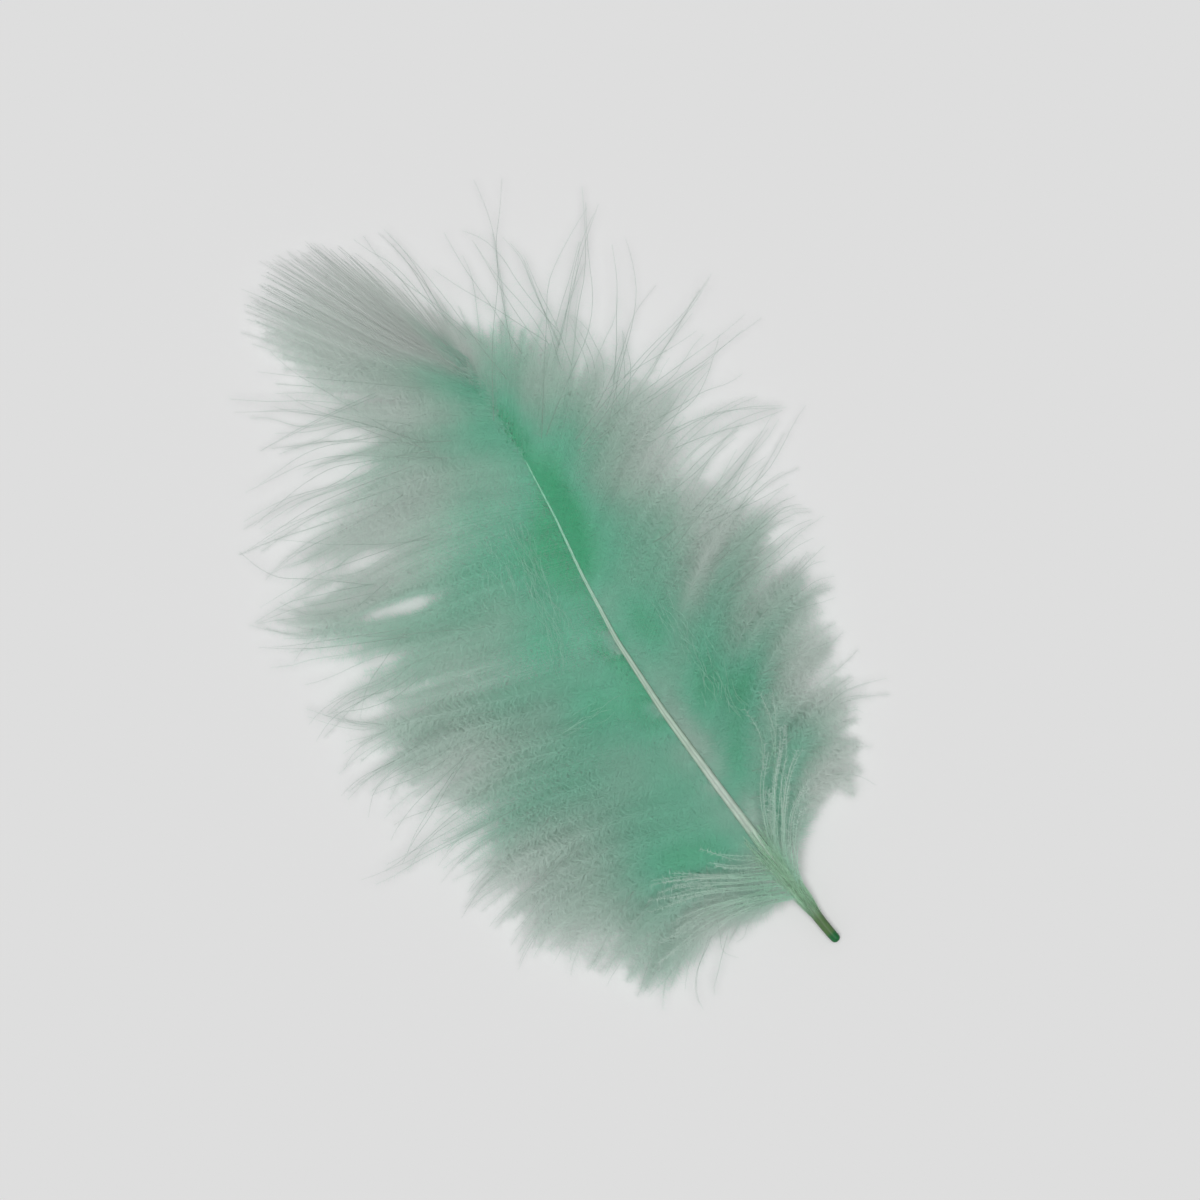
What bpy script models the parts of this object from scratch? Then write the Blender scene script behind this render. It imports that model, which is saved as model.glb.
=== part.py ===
"""A marabou feather that lies on a table: a curved shaft with locks of down fused along both of its sides.

Metres, +Z up. The feather's tip points along +Y, its grooved underside faces up, and the middle of its
extents stands on the origin. Lengths below are in millimetres."""

import math

import bmesh
import bpy
from mathutils import Vector

MM = 0.001
NAME = "feather"

# The middle of the feather's extents, in the sheet on which the points below were measured.
MIDDLE_X = 0.7
MIDDLE_Y = 0.2

# The shaft from the quill's rounded end to its hidden tip: x, y, height of its centre, radius.
SHAFT = (
    (-3.3, -61.9, 1.3, 0.40),
    (-3.3, -61.2, 1.3, 0.62),
    (-3.2, -58.5, 1.6, 0.72),
    (-2.8, -54.0, 2.2, 0.80),
    (-2.2, -46.0, 3.2, 0.74),
    (-1.1, -35.0, 4.2, 0.64),
    (0.4, -21.5, 4.9, 0.50),
    (2.3, -10.0, 5.1, 0.38),
    (4.9, 0.0, 5.0, 0.28),
    (7.6, 8.5, 4.7, 0.22),
    (10.2, 18.5, 4.2, 0.20),
    (11.9, 27.0, 3.6, 0.18),
    (12.6, 34.0, 3.2, 0.15),
)

# Locks of down. Each has the y of its root on the shaft, the x and y of its tip, and the angles at which it
# leaves the shaft and ends, in degrees turned from the feather's tip towards the lock's own side.
TIP_FAN = (
    (27.0, -6.8, 57.2, 40, 30),
    (28.5, -4.0, 60.6, 35, 24),
    (30.0, -0.4, 61.6, 30, 18),
    (31.0, 2.6, 62.5, 24, 14),
    (32.0, 5.8, 61.9, 18, 10),
    (32.5, 8.6, 60.2, 12, 8),
    (33.0, 10.6, 57.6, 6, 8),
)
FAN_RIGHT = (
    (32.0, 14.4, 56.4, 12, -8),
    (30.5, 17.0, 55.0, 20, -3),
    (29.0, 18.0, 47.5, 34, -12),
)
LEFT_LOCKS = (
    (25.5, -10.6, 52.6, 42, 38),
    (24.0, -15.6, 49.8, 46, 40),
    (22.5, -17.0, 43.2, 46, 66),
    (20.5, -23.0, 40.2, 44, 66),
    (18.5, -27.8, 36.3, 44, 84),
    (16.5, -28.6, 34.0, 48, 78),
    (14.0, -28.4, 29.2, 52, 78),
    (10.0, -33.2, 27.4, 52, 76),
    (6.5, -29.4, 26.0, 58, 22),
    (3.0, -32.4, 27.2, 62, 20),
    (-1.0, -35.6, 23.2, 60, 38),
    (-4.5, -35.2, 15.6, 58, 62),
    (-8.5, -38.6, 9.4, 57, 86),
    (-12.0, -36.2, 12.6, 72, 24),
    (-15.0, -40.4, 1.0, 62, 104),
    (-17.5, -41.2, -0.8, 62, 90),
    (-20.0, -40.2, -5.2, 60, 122),
    (-22.5, -42.8, -10.2, 60, 116),
    (-25.0, -41.0, -13.0, 62, 112),
    (-27.5, -46.6, -10.2, 66, 66),
    (-29.5, -38.2, -16.6, 64, 104),
    (-31.5, -39.0, -18.6, 64, 94),
    (-33.5, -38.4, -22.2, 64, 100),
    (-35.5, -40.2, -24.2, 64, 98),
    (-37.5, -39.2, -27.6, 64, 96),
    (-39.5, -36.4, -30.6, 64, 98),
    (-41.5, -39.8, -35.0, 64, 110),
    (-43.5, -35.2, -37.6, 62, 112),
    (-45.5, -33.2, -41.4, 60, 106),
    (-47.5, -31.4, -45.2, 58, 112),
    (-49.0, -29.4, -49.0, 56, 114),
    (-50.5, -27.0, -52.0, 56, 130),
    (-52.0, -23.0, -55.0, 58, 150),
    (-53.4, -15.6, -52.6, 64, 118),
)
RIGHT_LOCKS = (
    (26.0, 23.8, 48.8, 38, 6),
    (23.0, 32.2, 52.4, 44, 24),
    (20.0, 28.6, 43.0, 46, -2),
    (17.5, 43.8, 38.0, 42, 76),
    (15.0, 41.8, 36.8, 46, 62),
    (12.5, 42.4, 40.4, 54, 42),
    (9.5, 42.0, 33.0, 52, 30),
    (6.5, 40.2, 23.2, 54, 84),
    (3.5, 47.4, 19.0, 54, 70),
    (1.0, 43.2, 14.0, 54, 92),
    (-1.5, 48.0, 11.2, 54, 94),
    (-4.0, 47.0, 6.6, 54, 114),
    (-7.0, 44.8, -3.0, 50, 136),
    (-10.0, 42.2, -2.2, 52, 122),
    (-12.5, 36.4, 0.4, 56, 84),
    (-15.0, 38.6, -2.4, 58, 84),
    (-17.5, 46.0, -3.0, 60, 68),
    (-20.0, 35.8, -5.4, 58, 90),
    (-22.5, 37.4, -9.6, 58, 104),
    (-25.0, 35.0, -12.4, 56, 112),
    (-27.5, 34.6, -14.4, 54, 130),
    (-29.5, 35.4, -17.0, 54, 112),
    (-31.5, 33.8, -19.8, 54, 90),
    (-33.5, 32.8, -22.6, 52, 128),
    (-35.5, 32.0, -24.8, 50, 126),
    (-37.5, 28.8, -26.4, 48, 112),
    (-39.5, 26.6, -29.8, 46, 100),
    (-41.5, 25.4, -33.0, 44, 116),
    (-43.5, 26.8, -39.4, 42, 122),
    (-45.5, 21.4, -38.6, 42, 114),
    (-47.5, 20.0, -41.6, 38, 130),
    (-49.5, 18.2, -45.0, 34, 150),
    (-51.0, 14.0, -47.4, 30, 160),
    (-52.5, 7.4, -45.4, 28, 130),
)

# How wide a lock is along its length: the share of the way to its tip, and the share of its full width.
LOCK_WIDTHS = ((0.0, 0.56), (0.18, 0.80), (0.42, 1.0), (0.68, 0.86), (0.88, 0.46), (1.0, 0.12))
FLATNESS = 0.42  # a lock's thickness over its width
ROOT_PULL, TIP_PULL = 0.40, 0.30  # how far a lock's middle line keeps its angles, as shares of its reach
ROOT_DROP = 0.5  # the locks' roots lie this far below the shaft's centre
ROOT_OVERLAP = 1.1  # and start this far behind it, so that the two sides grow into each other

# The locks lie in layers, taken in turn: half width, height half way out, height at the tip.
LAYERS = ((3.1, 0.9, 0.8), (2.2, 4.8, 3.2), (3.1, 0.9, 1.8), (2.2, 6.2, 8.8))
FAN_LAYERS = ((2.3, 1.8, 1.4), (2.3, 2.6, 2.8))
LEAST_HALF_WIDTH = 1.4
WIDTH_PER_LENGTH = 0.085  # short locks are narrower: their half width is at most this share of their length
FULL_REACH = 34.0  # locks shorter than this rise less above the shaft, in proportion
LEFT, RIGHT = -1, 1  # the shaft's sides

# The block below the table's surface that trims the underside flat
TABLE_SIDE = 300.0
TABLE_DEPTH = 20.0

TUBE_ROUNDNESS = 1  # how finely the tubes are rounded: 1 gives them six sides
MERGE_METRES = 1e-6
SHARP_DEGREES = 50  # edges that turn more than this stay sharp
DOWN_GREEN = (0.16, 0.38, 0.25, 1.0)
DOWN_ROUGHNESS = 0.8


def shaft_at(y):
    """The shaft's x and height at a y, between its measured points."""
    for (x0, y0, z0, _), (x1, y1, z1, _) in zip(SHAFT, SHAFT[1:]):
        if y <= y1:
            share = max(0.0, (y - y0) / (y1 - y0))
            return x0 + (x1 - x0) * share, z0 + (z1 - z0) * share
    return SHAFT[-1][0], SHAFT[-1][2]


def heading(angle, side):
    """The direction at an angle from the feather's tip, turned to the left (-1) or right (+1) side."""
    return Vector((side * math.sin(math.radians(angle)), math.cos(math.radians(angle)), 0.0))


def lock_point(lock, side, heights, share):
    """The centre of a lock at a share of the way from its root to its tip."""
    root_y, tip_x, tip_y, leaves, ends = lock
    root_x, shaft_z = shaft_at(root_y)
    root = Vector((root_x, root_y, 0.0)) - heading(leaves, side) * ROOT_OVERLAP
    tip = Vector((tip_x, tip_y, 0.0))
    reach = (tip - root).length
    first = root + heading(leaves, side) * reach * ROOT_PULL
    second = tip - heading(ends, side) * reach * TIP_PULL
    rest = 1.0 - share
    point = root * rest**3 + first * 3 * rest**2 * share + second * 3 * rest * share**2 + tip * share**3
    middle_z, tip_z = heights
    root_z = shaft_z - ROOT_DROP
    bend_z = 2.0 * middle_z - (root_z + tip_z) / 2.0
    point.z = root_z * rest**2 + bend_z * 2.0 * rest * share + tip_z * share**2
    return point


def placed(point):
    """A measured point in the feather's own frame, in metres."""
    return Vector((point.x - MIDDLE_X, point.y - MIDDLE_Y, point.z)) * MM


def tube(name, points, radii, flatness, collection):
    """A tapered tube through the points, pressed flat, as a curve object."""
    curve = bpy.data.curves.new(name, "CURVE")
    curve.dimensions = "3D"
    curve.bevel_depth = MM
    curve.bevel_resolution = TUBE_ROUNDNESS
    curve.use_fill_caps = True
    curve.twist_mode = "Z_UP"
    spline = curve.splines.new("POLY")
    spline.points.add(len(points) - 1)
    for knot, point, radius in zip(spline.points, points, radii):
        knot.co = (point.x, point.y, point.z / flatness, 1.0)
        knot.radius = radius
    made = bpy.data.objects.new(name, curve)
    made.scale.z = flatness
    collection.objects.link(made)
    return made


def as_mesh(source, collection):
    """The closed mesh of a curve object, in its place."""
    bpy.context.view_layer.update()
    evaluated = source.evaluated_get(bpy.context.evaluated_depsgraph_get())
    mesh = bpy.data.meshes.new_from_object(evaluated)
    mesh.transform(source.matrix_world)
    shape = bmesh.new()
    shape.from_mesh(mesh)
    bmesh.ops.remove_doubles(shape, verts=shape.verts, dist=MERGE_METRES)
    bmesh.ops.recalc_face_normals(shape, faces=shape.faces)
    shape.to_mesh(mesh)
    shape.free()
    made = bpy.data.objects.new(source.name + "_solid", mesh)
    collection.objects.link(made)
    bpy.data.objects.remove(source)
    return made


def shaft_solid(collection):
    """The bare quill and the shaft that the locks grow from."""
    points = [placed(Vector(row[:3])) for row in SHAFT]
    radii = [row[3] for row in SHAFT]
    return as_mesh(tube("shaft", points, radii, 1.0, collection), collection)


def lock_solid(name, lock, side, layer, collection):
    """One lock of down: a flat tapered tube that bends from the shaft to its tip."""
    half_width, middle_z, tip_z = layer
    root_y, tip_x, tip_y = lock[:3]
    reach = math.hypot(tip_x - shaft_at(root_y)[0], tip_y - root_y)
    half_width = max(LEAST_HALF_WIDTH, min(half_width, reach * WIDTH_PER_LENGTH))
    tip_z *= min(1.0, reach / FULL_REACH)
    points = [placed(lock_point(lock, side, (middle_z, tip_z), share)) for share, _ in LOCK_WIDTHS]
    radii = [half_width * width for _, width in LOCK_WIDTHS]
    return as_mesh(tube(name, points, radii, FLATNESS, collection), collection)


def make_locks(collection):
    """The fan of locks at the feather's tip, then those down its left and its right side."""
    sides = (
        ("fan_left", TIP_FAN, LEFT, FAN_LAYERS),
        ("fan_right", FAN_RIGHT, RIGHT, FAN_LAYERS),
        ("left", LEFT_LOCKS, LEFT, LAYERS),
        ("right", RIGHT_LOCKS, RIGHT, LAYERS),
    )
    for name, locks, side, layers in sides:
        for number, lock in enumerate(locks):
            lock_solid(f"{name}_{number:02d}", lock, side, layers[number % len(layers)], collection)


def applied(target):
    """Bakes an object's modifiers into its mesh."""
    bpy.context.view_layer.update()
    evaluated = target.evaluated_get(bpy.context.evaluated_depsgraph_get())
    mesh = bpy.data.meshes.new_from_object(evaluated)
    target.modifiers.clear()
    target.data = mesh


def join_locks(shaft, locks):
    """Fuses every lock to the shaft."""
    union = shaft.modifiers.new("locks", "BOOLEAN")
    union.operation = "UNION"
    union.operand_type = "COLLECTION"
    union.collection = locks
    applied(shaft)


def table_block(collection):
    """The block that stands for everything below the table's surface."""
    bpy.ops.mesh.primitive_cube_add(size=1.0)
    block = bpy.context.object
    block.name = "below_table"
    block.scale = (TABLE_SIDE * MM, TABLE_SIDE * MM, TABLE_DEPTH * MM)
    block.location.z = -TABLE_DEPTH * MM / 2.0
    block.hide_render = True
    block.display_type = "WIRE"
    for home in list(block.users_collection):
        home.objects.unlink(block)
    collection.objects.link(block)
    return block


def trim_flat(feather, block):
    """Cuts off what would lie below the table, which leaves flat faces to rest on."""
    cut = feather.modifiers.new("flat_underside", "BOOLEAN")
    cut.operation = "DIFFERENCE"
    cut.object = block
    applied(feather)


def face_islands(shape):
    """Groups of faces that hang together through edges with exactly two faces."""
    unseen = set(shape.faces)
    islands = []
    while unseen:
        front = [unseen.pop()]
        island = list(front)
        while front:
            for edge in front.pop().edges:
                near = [face for face in edge.link_faces if face in unseen]
                if len(edge.link_faces) == 2 and near:
                    unseen.remove(near[0])
                    front.append(near[0])
                    island.append(near[0])
        islands.append(island)
    return islands


def keep_outer_skin(feather):
    """Drops the small closed pockets that stay between crossed locks."""
    shape = bmesh.new()
    shape.from_mesh(feather.data)
    islands = sorted(face_islands(shape), key=len)
    for island in islands[:-1]:
        bmesh.ops.delete(shape, geom=island, context="FACES")
    shape.to_mesh(feather.data)
    shape.free()


def down_material():
    """Soft matt down, dyed mint green."""
    material = bpy.data.materials.new("mint_down")
    material.use_nodes = True
    surface = material.node_tree.nodes["Principled BSDF"]
    surface.inputs["Base Color"].default_value = DOWN_GREEN
    surface.inputs["Roughness"].default_value = DOWN_ROUGHNESS
    surface.inputs["Metallic"].default_value = 0.0
    return material


def new_collection(name):
    """An empty collection in the scene."""
    collection = bpy.data.collections.new(name)
    bpy.context.scene.collection.children.link(collection)
    return collection


def main():
    """Grows the locks from the shaft, trims the underside flat and cleans the skin."""
    for leftover in list(bpy.data.objects):
        bpy.data.objects.remove(leftover)
    part = new_collection(NAME)
    locks = new_collection("locks")
    cutters = new_collection("cutters")
    feather = shaft_solid(part)
    feather.name = NAME
    make_locks(locks)
    join_locks(feather, locks)
    trim_flat(feather, table_block(cutters))
    for lock in list(locks.objects):
        bpy.data.objects.remove(lock)
    keep_outer_skin(feather)
    feather.data.name = NAME
    feather.data.materials.clear()
    feather.data.materials.append(down_material())
    feather.data.shade_smooth()
    feather.data.set_sharp_from_angle(angle=math.radians(SHARP_DEGREES))


main()
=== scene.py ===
"""The looks of the marabou feather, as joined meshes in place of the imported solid: its grooved shaft, about
twelve hundred barbs with their barbules, the loose hairs round its edge and the pale tufts at its base.

Lengths are in millimetres until a mesh is made. The feather's tip points along +Y, and +X is to the right of
the shaft seen from above. Places around the feather run from 0 at its left base over the tip, near 0.5, to 1
at its right base. Short tables of pairs give a value at such places, or along a strand. The locks repeat the
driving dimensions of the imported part."""

import math
from collections import namedtuple

import bpy
import numpy as np
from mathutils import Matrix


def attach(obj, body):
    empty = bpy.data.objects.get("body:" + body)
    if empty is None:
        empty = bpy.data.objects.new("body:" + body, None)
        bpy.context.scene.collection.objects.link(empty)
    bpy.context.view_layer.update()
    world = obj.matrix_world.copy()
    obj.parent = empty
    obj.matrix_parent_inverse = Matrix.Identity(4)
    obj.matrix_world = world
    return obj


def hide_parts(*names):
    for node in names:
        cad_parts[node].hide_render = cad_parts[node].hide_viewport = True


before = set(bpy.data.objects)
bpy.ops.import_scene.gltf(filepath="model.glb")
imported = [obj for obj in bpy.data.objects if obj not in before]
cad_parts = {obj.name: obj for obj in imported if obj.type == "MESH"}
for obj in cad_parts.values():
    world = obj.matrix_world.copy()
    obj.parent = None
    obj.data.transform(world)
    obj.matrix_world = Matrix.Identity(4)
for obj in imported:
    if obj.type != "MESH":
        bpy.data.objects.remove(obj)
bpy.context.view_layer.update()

MM = 0.001
SEED = 20

# The middle of the feather's extents, in the sheet on which the points below were measured.
MIDDLE = np.array((0.7, 0.2, 0))

# The photograph: millimetres to a pixel, its side, the pixel of the sheet's origin, and the turn of the
# feather's axis from its vertical.
PIXEL = 0.14
PHOTO_SIDE = 1200
SHEET_PIXEL = (556, 598)
TURN = math.radians(42.5)
CAMERA_HEIGHT = 0.7
CAMERA_CLIPS = 0.01, 20.0

# The shaft from the quill's end to its hidden tip: x, y, height of its centre, radius.
SHAFT = np.array((
    (-3.3, -62, 1.3, 0.38),
    (-3.3, -61.5, 1.3, 0.66),
    (-3.3, -60.6, 1.4, 0.70),
    (-3.2, -58.5, 1.6, 0.72),
    (-2.8, -54, 2.2, 0.80),
    (-2.2, -46, 3.2, 0.74),
    (-1.1, -35, 4.2, 0.64),
    (0.4, -21.5, 4.9, 0.50),
    (2.3, -10, 5.1, 0.37),
    (4.9, 0, 5, 0.25),
    (7.6, 8.5, 4.7, 0.18),
    (10.2, 18.5, 4.2, 0.13),
    (11.9, 27, 3.6, 0.13),
    (12.6, 34, 3.2, 0.12),
))

# Locks of down. Each has the y of its root on the shaft, the x and y of its tip, the angles at which it
# leaves the shaft and ends, in degrees turned from the feather's tip towards its own side, and the share of
# its length where its dense down ends.
TIP_FAN = (
    (27, -6.8, 57.2, 40, 30, 0.88),
    (28.5, -4, 60.6, 35, 24, 0.91),
    (30, -0.4, 61.6, 30, 18, 0.90),
    (31, 2.6, 62.5, 24, 14, 0.92),
    (32, 5.8, 61.9, 18, 10, 0.92),
    (32.5, 8.6, 60.2, 12, 8, 0.90),
    (33, 10.6, 57.6, 6, 8, 0.86),
)
FAN_RIGHT = (
    (32, 14.4, 56.4, 12, -8, 0.40),
    (30.5, 17, 55, 20, -3, 0.36),
    (29, 18, 47.5, 34, -12, 0.38),
)
LEFT_LOCKS = (
    (25.5, -10.6, 52.6, 42, 38, 0.66),
    (24, -15.6, 49.8, 46, 40, 0.53),
    (22.5, -17, 43.2, 46, 66, 0.38),
    (20.5, -23, 40.2, 44, 66, 0.42),
    (18.5, -27.8, 36.3, 44, 84, 0.44),
    (16.5, -28.6, 34, 48, 78, 0.54),
    (14, -28.4, 29.2, 52, 78, 0.76),
    (10, -33.2, 27.4, 52, 76, 0.74),
    (6.5, -29.4, 26, 58, 22, 0.85),
    (3, -32.4, 27.2, 62, 20, 0.80),
    (-1, -35.6, 23.2, 60, 38, 0.66),
    (-4.5, -35.2, 15.6, 58, 62, 0.72),
    (-8.5, -38.6, 9.4, 57, 86, 0.74),
    (-12, -36.2, 12.6, 72, 24, 0.68),
    (-15, -40.4, 1, 62, 104, 0.70),
    (-17.5, -41.2, -0.8, 62, 90, 0.72),
    (-20, -40.2, -5.2, 60, 122, 0.74),
    (-22.5, -42.8, -10.2, 60, 116, 0.74),
    (-25, -41, -13, 62, 112, 0.68),
    (-27.5, -46.6, -10.2, 66, 66, 0.46),
    (-29.5, -38.2, -16.6, 64, 104, 0.56),
    (-31.5, -39, -18.6, 64, 94, 0.72),
    (-33.5, -38.4, -22.2, 64, 100, 0.76),
    (-35.5, -40.2, -24.2, 64, 98, 0.78),
    (-37.5, -39.2, -27.6, 64, 96, 0.82),
    (-39.5, -36.4, -30.6, 64, 98, 0.85),
    (-41.5, -39.8, -35, 64, 110, 0.80),
    (-43.5, -35.2, -37.6, 62, 112, 0.85),
    (-45.5, -33.2, -41.4, 60, 106, 0.88),
    (-47.5, -31.4, -45.2, 58, 112, 0.88),
    (-49, -29.4, -49, 56, 114, 0.85),
    (-50.5, -27, -52, 56, 130, 0.80),
    (-52, -23, -55, 58, 150, 0.44),
    (-53.4, -15.6, -52.6, 64, 118, 0.50),
)
RIGHT_LOCKS = (
    (26, 23.8, 48.8, 38, 6, 0.34),
    (23, 32.2, 52.4, 44, 24, 0.34),
    (20, 28.6, 43, 46, -2, 0.46),
    (17.5, 43.8, 38, 42, 76, 0.34),
    (15, 41.8, 36.8, 46, 62, 0.42),
    (12.5, 42.4, 40.4, 54, 42, 0.44),
    (9.5, 42, 33, 52, 30, 0.46),
    (6.5, 40.2, 23.2, 54, 84, 0.60),
    (3.5, 47.4, 19, 54, 70, 0.54),
    (1, 43.2, 14, 54, 92, 0.59),
    (-1.5, 48, 11.2, 54, 94, 0.61),
    (-4, 47, 6.6, 54, 114, 0.55),
    (-7, 44.8, -3, 50, 136, 0.48),
    (-10, 42.2, -2.2, 52, 122, 0.51),
    (-12.5, 36.4, 0.4, 56, 84, 0.65),
    (-15, 38.6, -2.4, 58, 84, 0.66),
    (-17.5, 46, -3, 60, 68, 0.50),
    (-20, 35.8, -5.4, 58, 90, 0.66),
    (-22.5, 37.4, -9.6, 58, 104, 0.70),
    (-25, 35, -12.4, 56, 112, 0.76),
    (-27.5, 34.6, -14.4, 54, 130, 0.72),
    (-29.5, 35.4, -17, 54, 112, 0.74),
    (-31.5, 33.8, -19.8, 54, 90, 0.68),
    (-33.5, 32.8, -22.6, 52, 128, 0.74),
    (-35.5, 32, -24.8, 50, 126, 0.80),
    (-37.5, 28.8, -26.4, 48, 112, 0.86),
    (-39.5, 26.6, -29.8, 46, 100, 0.90),
    (-41.5, 25.4, -33, 44, 116, 0.84),
    (-43.5, 26.8, -39.4, 42, 122, 0.68),
    (-45.5, 21.4, -38.6, 42, 114, 0.86),
    (-47.5, 20, -41.6, 38, 130, 0.88),
    (-49.5, 18.2, -45, 34, 150, 0.90),
    (-51, 14, -47.4, 30, 160, 0.88),
    (-52.5, 7.4, -45.4, 28, 130, 0.80),
)

# The layers that the locks lie in, taken in turn: height half way out, height at the tip.
LAYERS = ((2.6, 2), (3.4, 3), (2.8, 2.6), (3.8, 4.6))
FAN_LAYERS = ((2, 1.4), (2.6, 2.6))
FULL_REACH = 34.0  # locks shorter than this rise less above the shaft, in proportion
ROOT_DROP = 0.25  # the barbs' roots lie this share of the shaft's radius below its centre
ROOT_PULL, TIP_PULL = 0.40, 0.30  # how far a lock's middle line keeps its angles, as shares of its reach

# Barbs
BARBS_PER_LOCK = 16
BARB_STEPS = 16
ALONG = np.linspace(0, 1, BARB_STEPS)  # where the points of every strand lie along it
ROOT_PLACES = (0.1, 0.9)  # where a barb's root may lie in its own room on the shaft
# A barb's radius along it, and how stout it is around the feather
BARB_RADIUS = ((0, 0.040), (0.15, 0.036), (0.5, 0.028), (0.8, 0.018), (1, 0.007))
BARB_STOUTNESS = ((0.44, 1), (0.46, 1.35), (0.53, 1.35), (0.56, 1))
# Where they turn into bare hairs, as a share of the dense down, and how soon they are bare
BARE_START = ((0.44, 0.95), (0.46, 0.72), (0.53, 0.72), (0.56, 0.95))
TURNING_BARE = 0.2
# The shares of barbs that are hairs far out of the dense down, and that end half way, around the feather
HAIRS = ((0, 0.15), (0.14, 0.13), (0.3, 0.10), (0.36, 0.16), (0.42, 0.14), (0.5, 0.14), (0.53, 0.06),
         (0.56, 0.02), (0.66, 0.02), (0.76, 0.04), (0.85, 0.11), (0.92, 0.15), (1, 0.16))
HALF_WAY = ((0.3, 0.24), (0.38, 0.30), (0.5, 0.28), (0.53, 0.10), (0.64, 0.10), (0.76, 0.14), (0.84, 0.24))
# How far they reach, as shares: in the fan and elsewhere of the dense down, half way of what is left of the
# lock, and hairs of the whole lock
FAN_REACH, DOWN_REACH, HALF_WAY_REACH, HAIR_REACH = (0.98, 1.10), (0.72, 1.08), (0, 0.7), (0.84, 1.02)
FAN_DENSE = 0.9  # only the fan's locks are dense over more than this share
# Barbs cling together in this many strands to a lock, around the feather
STRANDS_PER_LOCK = ((0, 12), (0.1, 9), (0.18, 5), (0.28, 2.5), (0.43, 2.5), (0.45, 6), (0.52, 6),
                    (0.54, 2.5), (0.76, 2.5), (0.86, 7), (0.92, 10), (1, 12))
CLING, CLINGING = 0.45, (0.35, 0.95)  # how closely, and between which shares of the lock
# Past the dense down they gather towards their lock's middle line: how much, by the lock's dense share, and
# from how far before the end of the dense down to how far past it
GATHER = ((0.4, 0.9), (0.9, 0.12))
GATHER_BEFORE, GATHER_PAST = 0.15, 0.35
# How much they bend and stray, around the feather
STIFFNESS = ((0, 1.6), (0.03, 1), (0.15, 0.75), (0.25, 0.7), (0.41, 0.7), (0.45, 0.15), (0.53, 0.18),
             (0.56, 0.35), (0.6, 0.6), (0.76, 0.75), (0.85, 0.85), (0.97, 1), (1, 1.6))
# Waves in barbs and hairs: the least and most turns along one, then how far it swings
SLOW_SWAY, QUICK_SWAY = ((0.5, 1.4), (0.2, 1.3)), ((1.8, 4), (0.05, 0.25))
LIFT = ((0.5, 1.4), (0.1, 0.7))
LOOSE_SWAY, FIBRE_SWAY = ((0.6, 1.6), (0.05, 0.3)), ((0.4, 1.2), (0.05, 0.3))
SWAY_CURVE = 1.3  # how late along a barb it sways
STRAY, STRAY_CURVE = 1.8, 1.5  # how far barbs stray sideways at their ends, and how late
STRAY_FROM = 0.7  # where that begins, as a share of the dense down
# How far barbs rise or sink from their layer, how far at most, and between which shares of the lock
LEVEL, LEVEL_LIMITS, LEVEL_REACHED = 1.4, (-2.6, 3.4), (0.05, 0.5)
LOWEST, HIGHEST = 0.25, 6.6  # the heights that the barbs keep to
# Near the tip the roots cross over the shaft: between which y, how far out, aside, and how high above it
COVERED, COVER_OUT, COVER_ASIDE, COVER_ABOVE = (15, 20), 0.2, 0.45, (0.1, 1.3)

# Barbules
# How many there are to a millimetre and how wide they are at their foot, around the feather
BARBULES_PER_MM = ((0.43, 14.5), (0.46, 19), (0.53, 19), (0.56, 14.5))
BARBULE_WIDTH = ((0.43, 0.070), (0.46, 0.042), (0.53, 0.040), (0.56, 0.064), (1, 0.070))
HAIR_BARBULE_WIDTH = 0.026
# How far they lean from their barb and spread round it, in degrees, around the feather
BARBULE_LEAN = ((0.43, 50), (0.46, 32), (0.53, 28), (0.56, 50))
BARBULE_ROLL = ((0.43, 37), (0.46, 30), (0.53, 28), (0.56, 37))
LEAN_VARIES = 0.45
# How long they are, around the feather, and as a share of that along a barb, on hairs and by chance
FLUFF = ((0, 2), (0.03, 2.3), (0.2, 2.1), (0.38, 1.9), (0.435, 1.9), (0.46, 1.2), (0.485, 0.6), (0.53, 0.5),
         (0.56, 1), (0.62, 1.6), (0.8, 1.9), (0.86, 2.2))
BARBULE_SHARES = ((0, 0.65), (0.08, 0.90), (0.2, 1), (0.8, 1), (1, 0.5))
HAIR_FLUFF = 0.65
LENGTH_VARIES = (0.4, 1.4)
SOFTNESS = 0.75  # how far their shading is evened out, as light spreads in down
DOWN_LOWEST, DOWN_HIGHEST = 0.04, 8.8

# The dye: how far it has faded at the shaft, and how much it fades with each millimetre, around the feather
FADE_START = ((0, 0.65), (0.03, 0.36), (0.12, 0.28), (0.3, 0.22), (0.38, 0.32), (0.43, 0.40), (0.5, 0.34),
              (0.56, 0.36), (0.6, 0.15), (0.68, -0.05), (0.76, 0), (0.84, 0.10), (0.92, 0.18), (0.97, 0.36),
              (1, 0.6))
FADE_RATE = ((0, 0.026), (0.2, 0.018), (0.3, 0.021), (0.38, 0.027), (0.43, 0.036), (0.5, 0.042),
             (0.56, 0.036), (0.6, 0.048), (0.74, 0.052), (0.82, 0.034), (0.9, 0.028), (1, 0.034))
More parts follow.
